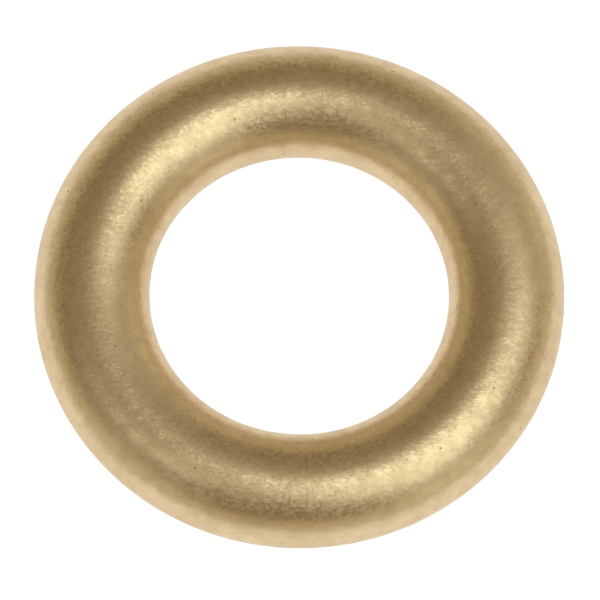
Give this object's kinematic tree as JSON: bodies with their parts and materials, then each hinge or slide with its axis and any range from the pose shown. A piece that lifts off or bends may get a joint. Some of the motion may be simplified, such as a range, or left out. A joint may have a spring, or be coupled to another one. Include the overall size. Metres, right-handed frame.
{
  "type": "ring washer",
  "caption": "Solid ring washer with a smoothly rounded oval section and a round bolt hole, in satin brass.",
  "frame": {"origin": "on the ring's axis, in the plane of its lower seat", "axes": "+Z along the ring's axis, away from the lower seat; X and Y are any two directions across it, because the ring is round"},
  "size_m": [0.015, 0.015, 0.0026],
  "materials": {
    "satin_brass": "satin, tumbled, fine grain with small dark pits"
  },
  "bodies": {
    "root": {"ring": "satin_brass"}
  },
  "joints": []
}
